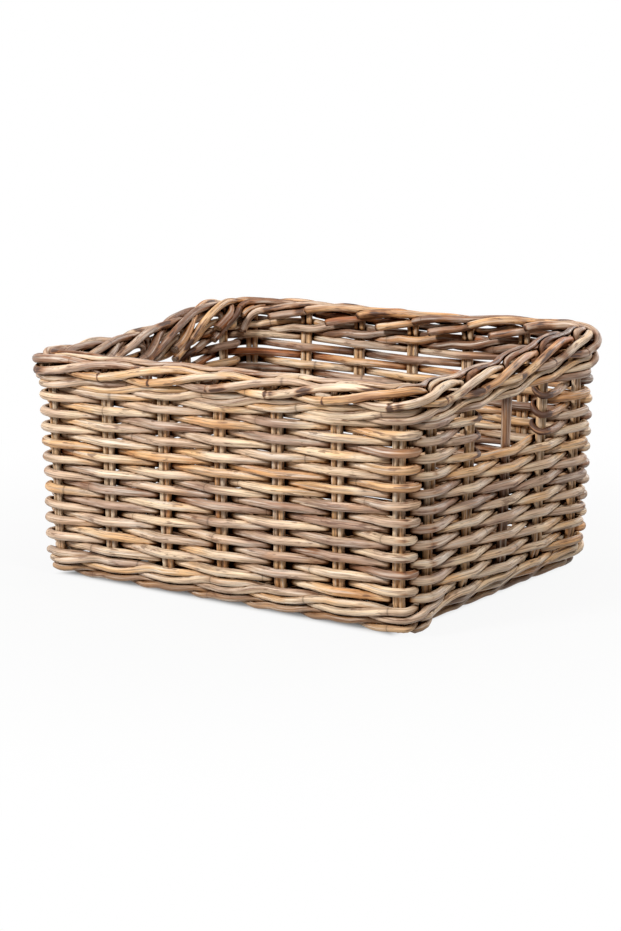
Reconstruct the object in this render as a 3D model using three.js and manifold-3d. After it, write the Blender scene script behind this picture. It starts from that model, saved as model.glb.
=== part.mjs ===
// Rectangular storage basket of round rattan cane with two hand holes.
// Paired stakes stand round the base, plain weave fills the walls, a three-strand wale
// closes the weave at top and bottom, and the stakes roll over into the rim border.
// Millimetres, +Z up, origin at the middle of the footprint on the floor.
// Stations count the stake pairs anticlockwise from the front left corner.

import * as THREE from 'three';
import Module from 'manifold-3d';

const wasm = await Module();
wasm.setup();

// Driving sizes
const BASKET_WIDTH = 460;
const BASKET_DEPTH = 370;
const WALL_LEAN = 6.5;
const CORNER_RADIUS = 25;
const GAP = 0.3;

// Canes
const WEAVER_RADIUS = 3.8;
const STAKE_RADIUS = 3.1;
const FOOT_RADIUS = 2.7;
const BASE_WEAVER_RADIUS = 3;

// Plain weave: the canes of a pair are pressed together, and strands swing past them.
const PAIR_PRESS_SHARE = 0.95;
const STAKE_SPACING = PAIR_PRESS_SHARE * 2 * STAKE_RADIUS;
const WEAVE_CLEARANCE = 2.1;
const WEAVE_SWING = STAKE_RADIUS + WEAVER_RADIUS + WEAVE_CLEARANCE;
const ROW_CLEARANCE = 0.5;
const ROW_PITCH = 2 * WEAVER_RADIUS + ROW_CLEARANCE;
const ROWS = 21;
const FIRST_SPLIT_ROW = 15;

// Stake pairs: the last pair of a long wall stands on the corner's round, the first pair
// of a short wall stands before it, and the shares are of the corner's radius.
const LONG_STATIONS = 7;
const SHORT_STATIONS = 5;
const STATIONS = 2 * (LONG_STATIONS + SHORT_STATIONS);
const LONG_END_SHARE = 0.44;
const SHORT_END_SHARE = 0.42;

// Heights of the courses, bottom to top
const FOOT_TWIST_SHARE = 1.28;
const FOOT_TWIST = FOOT_TWIST_SHARE * FOOT_RADIUS;
const FOOT_HEIGHT = FOOT_RADIUS + FOOT_TWIST;
const LOWER_WALE_HEIGHT = FOOT_HEIGHT + FOOT_TWIST + FOOT_RADIUS + WEAVER_RADIUS;
const WALE_RISE_SHARE = 2.56;
const WALE_RISE = WALE_RISE_SHARE * WEAVER_RADIUS;
const FIRST_ROW_HEIGHT = LOWER_WALE_HEIGHT + WALE_RISE + ROW_PITCH + GAP;
const UPPER_WALE_HEIGHT = FIRST_ROW_HEIGHT + ROWS * ROW_PITCH + GAP;
const RIM_SEAT_HEIGHT = UPPER_WALE_HEIGHT + WALE_RISE;

// Rim border: how far the rolled canes stand out, as a share of the weaver's diameter
const BORDER_OUT_SHARE = 1.7;
const RIM_OVERHANG = BORDER_OUT_SHARE * 2 * WEAVER_RADIUS + STAKE_RADIUS + GAP;

// Base: sticks across the floor and one weaver that turns round the outer sticks
const BASE_HEIGHT = LOWER_WALE_HEIGHT + STAKE_RADIUS;
const BASE_STICKS = 6;
const BASE_PASSES = 25;
const BASE_CLEARANCE = 0.5;
const BASE_SWING = STAKE_RADIUS + BASE_WEAVER_RADIUS + BASE_CLEARANCE;
const BASE_LAP_SHARE = 0.63;
const BASE_TURN = 2 * (STAKE_RADIUS + BASE_WEAVER_RADIUS) + BASE_CLEARANCE / 2;
const BASE_EDGE_CLEARANCE = 1.5;

// Sides of the polygons that stand for round cane
const WEAVER_SIDES = 5;
const STAKE_SIDES = 6;
const THIN_SIDES = 4;

// Path of a border cane after its stake: stations travelled, then the distance outward
// from the stakes and upward from the wale, both as shares of the weaver's diameter.
const BORDER_SHARES = [
  [0, 0, 1.06],
  [0.09, 0.16, 1.44],
  [0.4, 1, 1],
  [0.75, 1.6, 0.92],
  [1.25, BORDER_OUT_SHARE, 1.7],
  [1.75, 1.2, 2.22],
  [2.3, 0, 2.52],
  [2.75, -1.05, 2.2],
  [3.2, -1.6, 1.25],
];

// Bends of a strand round the pairs at the ends of the walls and beside the hand holes:
// distance towards the corner or hole, then distance from the stakes, as shares of the swing.
const LONG_END_OUTSIDE_SHARES = [
  [-0.5, 1],
  [0.86, 1.15],
];
const LONG_END_INSIDE_SHARES = [[0, 1.06]];
const SHORT_END_OUTSIDE_SHARES = [
  [-0.1, 1],
  [0.84, 1.06],
];
const SHORT_END_INSIDE_SHARES = [[0.3, 1.1]];
const WALE_CORNER_SHARE = 1.5;
const HOLE_SHARES = [
  [0.28, 1.07],
  [1.21, 0.49],
];

const rimHeight = RIM_SEAT_HEIGHT + BORDER_SHARES[6][2] * 2 * WEAVER_RADIUS;
const halfLong = BASKET_WIDTH / 2 - RIM_OVERHANG - CORNER_RADIUS;
const halfShort = BASKET_DEPTH / 2 - RIM_OVERHANG - CORNER_RADIUS;
const longPitch = (halfLong + LONG_END_SHARE * CORNER_RADIUS) / ((LONG_STATIONS - 1) / 2);
const shortPitch = (halfShort - SHORT_END_SHARE * CORNER_RADIUS) / ((SHORT_STATIONS - 1) / 2);
const arcLength = (CORNER_RADIUS * Math.PI) / 2;
const quarterLength = halfLong + arcLength + halfShort;
const sideLengths = [2 * halfLong, 2 * halfShort, 2 * halfLong, 2 * halfShort];

// Point on the stake line, run anticlockwise from the start of the front wall's straight.
function onStakeLine(run) {
  let left = run;
  const corner = new THREE.Vector2(-halfLong, -halfShort);
  const along = new THREE.Vector2(1, 0);
  const outward = new THREE.Vector2(0, -1);
  const turn = new THREE.Vector2();
  for (const length of sideLengths) {
    if (left <= length) {
      const point = corner.clone().addScaledVector(along, left).addScaledVector(outward, CORNER_RADIUS);
      return { point, outward };
    }
    left -= length;
    corner.addScaledVector(along, length);
    if (left <= arcLength) {
      outward.rotateAround(turn, left / CORNER_RADIUS);
      return { point: corner.clone().addScaledVector(outward, CORNER_RADIUS), outward };
    }
    left -= arcLength;
    along.rotateAround(turn, Math.PI / 2);
    outward.rotateAround(turn, Math.PI / 2);
  }
  return { point: corner.clone().addScaledVector(outward, CORNER_RADIUS), outward };
}

// Run of the middle of a whole-numbered station's stake pair, from the middle of the front wall.
function stationRun(station) {
  const half = STATIONS / 2;
  const lap = Math.floor(station / half);
  const place = station - lap * half;
  const start = 2 * lap * quarterLength;
  if (place < LONG_STATIONS) {
    return start + (place - (LONG_STATIONS - 1) / 2) * longPitch;
  }
  const step = place - LONG_STATIONS - (SHORT_STATIONS - 1) / 2;
  return start + quarterLength + step * shortPitch;
}

// A place on the wall: station, distance outward from the stakes, height.
function onWall(station, out, height, shift = 0) {
  const low = Math.floor(station);
  const start = stationRun(low);
  const run = start + (stationRun(low + 1) - start) * (station - low) + shift;
  const whole = 4 * quarterLength;
  const { point, outward } = onStakeLine((((run + halfLong) % whole) + whole) % whole);
  point.addScaledVector(outward, out - WALL_LEAN * (1 - height / rimHeight));
  return new THREE.Vector3(point.x, point.y, height);
}

// Place of a station within its half of the basket, 0 at the start of a long wall
function placeOf(station) {
  const half = STATIONS / 2;
  return ((station % half) + half) % half;
}

function atLongEnd(station) {
  return placeOf(station) === 0 || placeOf(station) === LONG_STATIONS - 1;
}

function atShortEnd(station) {
  return placeOf(station) === LONG_STATIONS || placeOf(station) === STATIONS / 2 - 1;
}

// Whether the wall turns a corner between a station and the next
function cornerAfter(station) {
  return (atLongEnd(station) && atShortEnd(station + 1)) || (atShortEnd(station) && atLongEnd(station + 1));
}

function bendPoint(station, [along, out], way, side, height, radius) {
  const distance = out * WEAVE_SWING - WEAVER_RADIUS + radius;
  return onWall(station, side * distance, height, way * along * WEAVE_SWING);
}

// Points where a strand passes a stake pair, side 1 on the outside and -1 on the inside
function passing(station, side, height, radius = WEAVER_RADIUS) {
  let bends = [[0, 1]];
  if (atLongEnd(station)) {
    bends = side > 0 ? LONG_END_OUTSIDE_SHARES : LONG_END_INSIDE_SHARES;
  } else if (atShortEnd(station)) {
    bends = side > 0 ? SHORT_END_OUTSIDE_SHARES : SHORT_END_INSIDE_SHARES;
  }
  const cornerAhead = cornerAfter(station);
  const way = cornerAhead ? 1 : -1;
  const points = bends.map((bend) => bendPoint(station, bend, way, side, height, radius));
  return cornerAhead ? points : points.reverse();
}

// Circumradius of the polygon with the area of the round cane
function polygonRadius(radius, sides) {
  return radius * Math.sqrt((2 * Math.PI) / (sides * Math.sin((2 * Math.PI) / sides)));
}

// A cane along a list of points. The polygon's lift stays towards up, or is carried along
// the cane from its start when the cane turns from upright to level.
function cane(points, radius, sides, options = {}) {
  const { closed = false, cornerUp = false, carried = false, up = new THREE.Vector3(0, 0, 1) } = options;
  const count = points.length;
  const ringRadius = polygonRadius(radius, sides);
  const vertices = [];
  const lift = up.clone();
  for (let i = 0; i < count; i += 1) {
    const before = points[closed ? (i + count - 1) % count : Math.max(i - 1, 0)];
    const after = points[closed ? (i + 1) % count : Math.min(i + 1, count - 1)];
    const arriving = points[i].clone().sub(before).normalize();
    const leaving = after.clone().sub(points[i]).normalize();
    const heading = arriving.clone().add(leaving).normalize();
    if (!carried) {
      lift.copy(up);
    }
    lift.addScaledVector(heading, -lift.dot(heading)).normalize();
    const across = heading.clone().cross(lift);
    const bend = leaving.clone().sub(arriving);
    const atEnd = !closed && (i === 0 || i === count - 1);
    const sideways = atEnd || bend.lengthSq() === 0 ? 0 : Math.abs(bend.normalize().dot(across));
    const stretch = atEnd ? 1 : 1 + (1 / heading.dot(leaving) - 1) * sideways;
    for (let k = 0; k < sides; k += 1) {
      const angle = ((k + (cornerUp ? 0 : 0.5)) * 2 * Math.PI) / sides + Math.PI / 2;
      const corner = points[i].clone();
      corner.addScaledVector(across, Math.cos(angle) * ringRadius * stretch);
      corner.addScaledVector(lift, Math.sin(angle) * ringRadius);
      vertices.push(corner);
    }
  }
  const triangles = [];
  const links = closed ? count : count - 1;
  for (let i = 0; i < links; i += 1) {
    for (let k = 0; k < sides; k += 1) {
      const a = i * sides + k;
      const b = i * sides + ((k + 1) % sides);
      const c = ((i + 1) % count) * sides + k;
      const d = ((i + 1) % count) * sides + ((k + 1) % sides);
      triangles.push([a, c, b], [b, c, d]);
    }
  }
  if (!closed) {
    const last = (count - 1) * sides;
    for (let k = 1; k < sides - 1; k += 1) {
      triangles.push([0, k, k + 1], [last, last + k + 1, last + k]);
    }
  }
  return { vertices, triangles };
}

function toGeometry({ vertices, triangles }) {
  const geometry = new THREE.BufferGeometry();
  const positions = new Float32Array(vertices.flatMap((v) => [v.x, v.y, v.z]));
  geometry.setAttribute('position', new THREE.BufferAttribute(positions, 3));
  geometry.setIndex(triangles.flat());
  return geometry;
}

function toManifold({ vertices, triangles }) {
  const vertProperties = new Float32Array(vertices.flatMap((v) => [v.x, v.y, v.z]));
  const triVerts = new Uint32Array(triangles.flat());
  return new wasm.Manifold(new wasm.Mesh({ numProp: 3, vertProperties, triVerts }));
}

function fromManifold(solid) {
  const { numProp, vertProperties, triVerts } = solid.getMesh();
  const geometry = new THREE.BufferGeometry();
  const positions = new Float32Array((vertProperties.length / numProp) * 3);
  for (let i = 0; i < positions.length / 3; i += 1) {
    positions.set(vertProperties.slice(i * numProp, i * numProp + 3), i * 3);
  }
  geometry.setAttribute('position', new THREE.BufferAttribute(positions, 3));
  geometry.setIndex([...triVerts]);
  return geometry;
}

const group = new THREE.Group();
group.name = 'basket';

function addPiece(name, geometry, makeMaterial) {
  const mesh = new THREE.Mesh(geometry, makeMaterial());
  mesh.name = name;
  geometry.computeVertexNormals();
  group.add(mesh);
}

function rattan(name, color) {
  return new THREE.MeshStandardMaterial({ name, color, roughness: 0.6, metalness: 0 });
}

function stakeCane() {
  return rattan('stake_cane', 0xb08d63);
}

function weaverCane() {
  return rattan('weaver_cane', 0xb59b78);
}

function waleCane() {
  return rattan('wale_cane', 0xbfa580);
}

function footCane() {
  return rattan('foot_cane', 0x9a7650);
}

function baseCane() {
  return rattan('base_cane', 0x9c8466);
}

// Cane that stands on the floor, its lower end cut level
function standingCane(points, wallOut) {
  const standing = cane(points, STAKE_RADIUS, STAKE_SIDES, { carried: true, up: wallOut });
  for (const corner of standing.vertices.slice(0, STAKE_SIDES)) {
    corner.z = 0;
  }
  return toManifold(standing);
}

// A stake pair: one cane is cut off on the upper wale, the other rolls into the border.
function stakePair(station) {
  const wallOut = onWall(station, 1, RIM_SEAT_HEIGHT).sub(onWall(station, 0, RIM_SEAT_HEIGHT));
  const leader = [onWall(station, 0, 0, STAKE_SPACING / 2)];
  for (const [travel, outShare, upShare] of BORDER_SHARES) {
    const height = RIM_SEAT_HEIGHT + upShare * 2 * WEAVER_RADIUS;
    const out = outShare * 2 * WEAVER_RADIUS;
    leader.push(onWall(station + travel, out, height, travel === 0 ? STAKE_SPACING / 2 : 0));
  }
  const partner = [0, RIM_SEAT_HEIGHT].map((height) => onWall(station, 0, height, -STAKE_SPACING / 2));
  return fromManifold(standingCane(partner, wallOut).add(standingCane(leader, wallOut)));
}

// Plain weave: outside one station, inside the next, the other way on the next row.
function rowPass(row, station) {
  const side = (row + station) % 2 === 0 ? -1 : 1;
  return passing(station, side, FIRST_ROW_HEIGHT + row * ROW_PITCH);
}

function fullRow(row) {
  const points = [];
  for (let station = 0; station < STATIONS; station += 1) {
    points.push(...rowPass(row, station));
  }
  return cane(points, WEAVER_RADIUS, WEAVER_SIDES, { closed: true, cornerUp: true });
}

// Points of the turn round a hole's edge pair, from the lower row to the upper one
function holeTurn(row, station, way) {
  const side = (row + station) % 2 === 0 ? -1 : 1;
  const bends = [...HOLE_SHARES, ...HOLE_SHARES.slice().reverse()];
  const turn = bends.map((bend, index) => {
    const sideNow = index < HOLE_SHARES.length ? side : -side;
    const climbed = index / (bends.length - 1);
    return bendPoint(station, bend, way, sideNow, FIRST_ROW_HEIGHT + (row + climbed) * ROW_PITCH, WEAVER_RADIUS);
  });
  return way > 0 ? turn : turn.reverse();
}

// Two rows between the hand holes are one cane that turns back round the holes' edge stakes.
function turnedRows(row, first, last) {
  const points = [];
  for (let station = first + 1; station < last; station += 1) {
    points.push(...rowPass(row, station));
  }
  points.push(...holeTurn(row, last, 1));
  for (let station = last - 1; station > first; station -= 1) {
    points.push(...rowPass(row + 1, station).reverse());
  }
  points.push(...holeTurn(row, first, -1));
  return cane(points, WEAVER_RADIUS, WEAVER_SIDES, { closed: true, cornerUp: true });
}

// Wale strand: outside two stations, over the next strand, inside the third.
function waleStrand(strand, height) {
  const points = [];
  for (let station = 0; station < STATIONS; station += 1) {
    const phase = (station + 3 - strand) % 3;
    if (phase === 0) {
      points.push(...passing(station, 1, height));
      if (cornerAfter(station)) {
        points.push(onWall(station + 0.5, WALE_CORNER_SHARE * WEAVE_SWING, height + WALE_RISE / 2));
      }
    } else if (phase === 1) {
      points.push(...passing(station, 1, height + WALE_RISE));
      points.push(onWall(station + 0.5, 0, height + WALE_RISE));
    } else {
      points.push(...passing(station, -1, height + WALE_RISE / 2));
      points.push(onWall(station + 0.5, 0, height));
    }
  }
  return cane(points, WEAVER_RADIUS, WEAVER_SIDES, { closed: true, cornerUp: true });
}

// Foot: two thinner strands twist round the stakes' lower ends.
function footStrand(strand) {
  const points = [];
  for (let station = 0; station < STATIONS; station += 1) {
    const side = (station + strand) % 2 === 0 ? 1 : -1;
    points.push(...passing(station, side, FOOT_HEIGHT, FOOT_RADIUS));
    points.push(onWall(station + 0.5, 0, FOOT_HEIGHT + side * FOOT_TWIST));
  }
  return cane(points, FOOT_RADIUS, THIN_SIDES, { closed: true });
}

// The floor reaches from the inside of one wall's weave to the other's.
const wallThickness = RIM_OVERHANG + WALL_LEAN + WEAVE_SWING + WEAVER_RADIUS;
const floorHalfWidth = BASKET_WIDTH / 2 - wallThickness;
const floorHalfDepth = BASKET_DEPTH / 2 - wallThickness;
const outerStick = floorHalfWidth - BASE_TURN - BASE_WEAVER_RADIUS - BASE_EDGE_CLEARANCE;

function stickPlace(index) {
  return outerStick * ((2 * index) / (BASE_STICKS - 1) - 1);
}

function baseStick(index) {
  const x = stickPlace(index);
  const reach = floorHalfDepth + STAKE_RADIUS - GAP;
  const points = [new THREE.Vector3(x, -reach, BASE_HEIGHT), new THREE.Vector3(x, reach, BASE_HEIGHT)];
  return cane(points, STAKE_RADIUS, STAKE_SIDES);
}

// Base weaver: one length that runs back and forth over and under the sticks.
function baseWeaver() {
  const points = [];
  const lap = BASE_LAP_SHARE * BASE_WEAVER_RADIUS;
  const passPitch = (2 * floorHalfDepth) / (BASE_PASSES + 1);
  for (let pass = 0; pass < BASE_PASSES; pass += 1) {
    const way = pass % 2 === 0 ? 1 : -1;
    const y = (pass - (BASE_PASSES - 1) / 2) * passPitch;
    for (let step = 0; step < BASE_STICKS; step += 1) {
      const outward = step === 0 ? -lap : step === BASE_STICKS - 1 ? lap : 0;
      const side = (step + pass * BASE_STICKS) % 2 === 0 ? 1 : -1;
      points.push(new THREE.Vector3(way * (stickPlace(step) + outward), y, BASE_HEIGHT + side * BASE_SWING));
    }
    if (pass < BASE_PASSES - 1) {
      points.push(new THREE.Vector3(way * (outerStick + BASE_TURN), y + passPitch / 2, BASE_HEIGHT));
    }
  }
  return cane(points, BASE_WEAVER_RADIUS, THIN_SIDES);
}

for (let station = 0; station < STATIONS; station += 1) {
  addPiece(`stake_pair_${station + 1}`, stakePair(station), stakeCane);
}
for (let row = 0; row < FIRST_SPLIT_ROW; row += 1) {
  addPiece(`weaver_row_${row + 1}`, toGeometry(fullRow(row)), weaverCane);
}
const rightHole = LONG_STATIONS + (SHORT_STATIONS - 1) / 2;
const leftHole = rightHole + STATIONS / 2;
for (let row = FIRST_SPLIT_ROW; row < ROWS; row += 2) {
  const front = toGeometry(turnedRows(row, leftHole + 1 - STATIONS, rightHole - 1));
  const back = toGeometry(turnedRows(row, rightHole + 1, leftHole - 1));
  addPiece(`front_weaver_rows_${row + 1}_${row + 2}`, front, weaverCane);
  addPiece(`back_weaver_rows_${row + 1}_${row + 2}`, back, weaverCane);
}
for (let strand = 0; strand < 3; strand += 1) {
  addPiece(`upper_wale_strand_${strand + 1}`, toGeometry(waleStrand(strand, UPPER_WALE_HEIGHT)), waleCane);
  addPiece(`lower_wale_strand_${strand + 1}`, toGeometry(waleStrand(strand, LOWER_WALE_HEIGHT)), waleCane);
}
for (let strand = 0; strand < 2; strand += 1) {
  addPiece(`foot_strand_${strand + 1}`, toGeometry(footStrand(strand)), footCane);
}
for (let index = 0; index < BASE_STICKS; index += 1) {
  addPiece(`base_stick_${index + 1}`, toGeometry(baseStick(index)), baseCane);
}
addPiece('base_weaver', toGeometry(baseWeaver()), baseCane);

export default group;
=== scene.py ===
"""Looks of the woven storage basket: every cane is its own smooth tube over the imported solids."""

import math
import random

import bpy
import numpy as np
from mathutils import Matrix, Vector
from mathutils.bvhtree import BVHTree


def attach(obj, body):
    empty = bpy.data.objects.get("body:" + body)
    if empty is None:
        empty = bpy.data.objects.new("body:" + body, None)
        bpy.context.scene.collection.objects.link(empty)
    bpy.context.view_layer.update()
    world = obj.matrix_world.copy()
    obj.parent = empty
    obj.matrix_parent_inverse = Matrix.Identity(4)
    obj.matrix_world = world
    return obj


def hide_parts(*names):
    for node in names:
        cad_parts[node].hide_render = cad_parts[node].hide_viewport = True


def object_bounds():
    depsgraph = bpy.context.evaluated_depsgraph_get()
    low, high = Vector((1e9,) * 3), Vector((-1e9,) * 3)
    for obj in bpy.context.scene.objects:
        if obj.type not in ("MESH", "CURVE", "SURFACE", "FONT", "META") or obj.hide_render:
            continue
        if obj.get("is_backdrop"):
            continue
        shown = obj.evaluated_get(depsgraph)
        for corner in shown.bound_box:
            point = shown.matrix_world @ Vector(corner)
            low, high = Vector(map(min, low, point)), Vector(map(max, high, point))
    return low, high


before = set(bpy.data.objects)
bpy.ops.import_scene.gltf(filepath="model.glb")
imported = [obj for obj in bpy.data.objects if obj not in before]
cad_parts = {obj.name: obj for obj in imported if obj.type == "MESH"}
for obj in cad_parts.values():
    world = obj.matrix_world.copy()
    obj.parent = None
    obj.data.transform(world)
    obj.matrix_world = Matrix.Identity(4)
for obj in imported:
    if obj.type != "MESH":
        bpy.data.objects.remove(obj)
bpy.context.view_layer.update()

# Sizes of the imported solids, in millimetres
MILLIMETRE = 0.001
WIDTH, DEPTH, HEIGHT = 460.0, 370.0, 237.0
LEAN = 6.5
CORNER = 25.0
OVERHANG = 16.32
SOLID_SWING = 9.0
SOLID_WEAVER = 3.8
DIAMETER = 2 * SOLID_WEAVER

# Radii of the canes here, which lie closer together than the solids
WEAVER = 4.05
WALE = 3.8
STAKE = 3.15
BORDER = 3.9
NEAR_INNER_BORDER, FAR_INNER_BORDER = 3.1, 4.0
FOOT_CANE = 3.4
BASE_STICK = 3.1
BASE_WEAVER = 4.3

# How far strands swing out from the line of the stakes, and the spacing of a pair of stakes
SWING = 7.3
PAIR_SPACING = 6.5

# Stations count the stake pairs anticlockwise from the front left corner. The end pairs of a
# long wall stand on the corner's round, those of a short wall before it, by shares of its radius.
LONG_STATIONS, SHORT_STATIONS = 7, 5
HALF_ROUND = LONG_STATIONS + SHORT_STATIONS
STATIONS = 2 * HALF_ROUND
LONG_MIDDLE = (LONG_STATIONS - 1) // 2
SHORT_MIDDLE = LONG_STATIONS + (SHORT_STATIONS - 1) // 2
LONG_END_SHARE, SHORT_END_SHARE = 0.44, 0.42

# Heights of the courses, bottom to top
STAKE_FOOT = 3.4
FOOT_LEVEL, FOOT_TWIST = 7.4, 3.6
LOWER_WALE, LOWER_RISE = 16.4, 8.2
BASE_LEVEL = 19.2
FIRST_ROW, ROW_PITCH, ROWS = 34.24, 8.1, 21
FIRST_SPLIT_ROW = 15
UPPER_WALE, UPPER_RISE = 201.6, 7.4
BORDER_SEAT = 209.5

# Spacing of the points along a cane, and the sides of its round
STEP, FINE_STEP = 5.0, 4.0
SIDES, FOOT_SIDES = 12, 10
WHOLE_TURN = 6.28

half_long = WIDTH / 2 - OVERHANG - CORNER
half_short = DEPTH / 2 - OVERHANG - CORNER
long_pitch = (half_long + LONG_END_SHARE * CORNER) / LONG_MIDDLE
short_pitch = (half_short - SHORT_END_SHARE * CORNER) / (SHORT_MIDDLE - LONG_STATIONS)
arc = CORNER * math.pi / 2
quarter = half_long + arc + half_short


def on_stakes(run):
    """Point and outward direction on the stakes' line, from the start of the front straight."""
    rest = run % (4 * quarter)
    centre = np.array([-half_long, -half_short])
    along, outward = np.array([1.0, 0.0]), np.array([0.0, -1.0])
    for length in (2 * half_long, 2 * half_short, 2 * half_long, 2 * half_short):
        if rest <= length:
            return centre + along * rest + outward * CORNER, outward
        rest -= length
        centre = centre + along * length
        if rest <= arc:
            angle = rest / CORNER
            turned = outward * math.cos(angle) + along * math.sin(angle)
            return centre + turned * CORNER, turned
        rest -= arc
        along, outward = np.array([-along[1], along[0]]), np.array([-outward[1], outward[0]])
    return centre + outward * CORNER, outward


def station_run(station):
    """How far along the stakes' line a station is from the middle of the front."""
    lap, place = divmod(station, HALF_ROUND)
    if place < LONG_STATIONS:
        return 2 * lap * quarter + (place - LONG_MIDDLE) * long_pitch
    return 2 * lap * quarter + quarter + (place - SHORT_MIDDLE) * short_pitch


def place_of(station):
    return station % HALF_ROUND


def long_end(station):
    return place_of(station) in (0, LONG_STATIONS - 1)


def short_end(station):
    return place_of(station) in (LONG_STATIONS, HALF_ROUND - 1)


def corner_after(station):
    return place_of(station) in (LONG_STATIONS - 1, HALF_ROUND - 1)


def wall_of(station):
    lap, place = divmod(station % STATIONS, HALF_ROUND)
    long_wall, short_wall = (("front", "right"), ("back", "left"))[lap]
    return long_wall if place < LONG_STATIONS else short_wall


def share_of_way(value, start, end):
    return (value - start) / (end - start)


def eased(value, start=0.0, end=1.0):
    """From 0 at the start to 1 at the end, and flat past both."""
    share = min(max(share_of_way(value, start, end), 0.0), 1.0)
    return share * share * (3 - 2 * share)


def hump(value, middle, width):
    """1 at the middle, and about a third of that a width away from it."""
    return math.exp(-(((value - middle) / width) ** 2))


# The basket's own unevenness. Shares: of the height by which the front left corner has
# settled, and of the depth by which the front and back are in at the foot. Millimetres: in at
# the sides' feet, out at the left wall, and down or up along the left rim.
FRONT_LEFT_SETTLED, FRONT_FOOT_IN = 0.045, 0.03
RIGHT_FOOT_IN, LEFT_FOOT_IN, LEFT_WALL_OUT = 17, 8, 6.8
LEFT_RIM_DOWN, LEFT_BAND_DOWN, LEFT_BACK_UP = 1.5, 9.0, 5.0

# Where it sets in and where it is in full, along the height, the width and the depth
FOOT, RIM = (36, 2), (165, 225)
TO_RIGHT, TO_LEFT, FAR_LEFT, LEFT_BULGE = (60, 210), (-60, -210), (-120, -200), (-60, -200)
FROM_FRONT, FROM_BACK, TO_BACK = (-162, -98), (205, 130), (-70, 120)

# Middle and width of the humps at the left wall
LEFT_MIDDLE, LEFT_BACK, LEFT_BAND = (0, 75), (110, 45), (200, 20)

# How far the back rim rises, by place along the width
RIM_RISE_AT = (-230, -190, -134, 0, 60, 110, 160, 195, 225)
RIM_RISE = (4, 6, 9, 8.5, 9, 13, 14, 14.5, 10)


def settle(point):
    """Front left corner low, back rim high, foot tucked under and left wall out."""
    x, y, z = point
    front_left = max(0.5 - x / WIDTH, 0.0) * max(0.5 - y / DEPTH, 0.0)
    z = z * (1 - FRONT_LEFT_SETTLED * front_left)
    foot = eased(z, *FOOT)
    side_middle = eased(y, *FROM_FRONT) * eased(y, *FROM_BACK)
    tuck = RIGHT_FOOT_IN * eased(x, *TO_RIGHT) - LEFT_FOOT_IN * eased(x, *TO_LEFT)
    x = x - foot * side_middle * tuck
    y = y * (1 - FRONT_FOOT_IN * foot)
    x = x - LEFT_WALL_OUT * max(share_of_way(x, *LEFT_BULGE), 0.0) ** 2
    left = eased(x, *FAR_LEFT)
    left_middle = left * hump(y, *LEFT_MIDDLE)
    lift = eased(y, *TO_BACK) * np.interp(x, RIM_RISE_AT, RIM_RISE) - LEFT_RIM_DOWN * left_middle
    lift = lift + LEFT_BACK_UP * left * hump(y, *LEFT_BACK)
    z = z + lift * eased(z, *RIM) - LEFT_BAND_DOWN * left_middle * hump(z, *LEFT_BAND)
    return np.array([x, y, z])


def on_wall(station, out, height, shift=0.0):
    """Point on the wall: outward from the stakes' line, and shifted along it from a station."""
    low = math.floor(station)
    start = station_run(low)
    run = start + (station_run(low + 1) - start) * (station - low) + shift
    point, outward = on_stakes(run + half_long)
    point = point + outward * (out - LEAN * (1 - height / HEIGHT))
    return settle((point[0], point[1], height))


def smooth(points, step, closed=False):
    """Rounded path through the points, and the place of each of its points among them."""
    p = np.asarray(points, float)
    n = len(p)
    ahead = np.roll(p, -1, axis=0) - p
    chords = np.maximum(np.linalg.norm(ahead, axis=1), 1e-6)
    slopes = ahead / chords[:, None]
    weight = np.roll(chords, 1)[:, None]
    tangents = np.roll(slopes, 1, axis=0) * chords[:, None] + slopes * weight
    tangents = tangents / (weight + chords[:, None])
    if not closed:
        tangents[0], tangents[-1] = slopes[0], slopes[-2]
    path, places = [], []
    for i in range(n if closed else n - 1):
        j = (i + 1) % n
        count = max(2, int(round(chords[i] / step)))
        t = np.arange(count)[:, None] / count
        leaving = (t**3 - 2 * t**2 + t) * chords[i] * tangents[i]
        arriving = (t**3 - t**2) * chords[i] * tangents[j]
        path.append((2 * t**3 - 3 * t**2 + 1) * p[i] + leaving + (3 * t**2 - 2 * t**3) * p[j] + arriving)
        places.append(i + t[:, 0])
    if not closed:
        path.append(p[-1:])
        places.append([n - 1.0])
    return np.concatenate(path), np.concatenate(places)


def run_along(path):
    """How far along a path each of its points lies."""
    return np.concatenate([[0.0], np.cumsum(np.linalg.norm(np.diff(path, axis=0), axis=1))])


def unit(vectors):
    return vectors / np.linalg.norm(vectors, axis=-1, keepdims=True)


def directions(path, closed, up):
    """Along a path, up from it and across it; an up that is given is carried along the path."""
    if closed:
        heading = unit(np.roll(path, -1, 0) - np.roll(path, 1, 0))
    else:
        heading = unit(np.gradient(path, axis=0))
    lift = np.tile([0.0, 0.0, 1.0], (len(path), 1))
    if up is not None:
        carried = np.asarray(up, float)
        for i, ahead in enumerate(heading):
            carried = unit(carried - ahead * carried.dot(ahead))
            lift[i] = carried
    lift = unit(lift - heading * np.sum(lift * heading, axis=1, keepdims=True))
    return heading, lift, np.cross(heading, lift)


# Where the grain of a cane lies in the noise: radius of its round, and steps from cane to cane
GRAIN_RADIUS = 0.004
GRAIN_STEPS = ((3.71, 97.0), (1.93, 31.0), (0.77, 13.0))
GRAIN_SCALE = 0.1

# The cut end of a cane: its radius as a share of the cane's, how far out it lies, its tone
CUT_SHARE, CUT_OUT, CUT_TONE = 0.86, 0.5, 0.5

meshes = []


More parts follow.
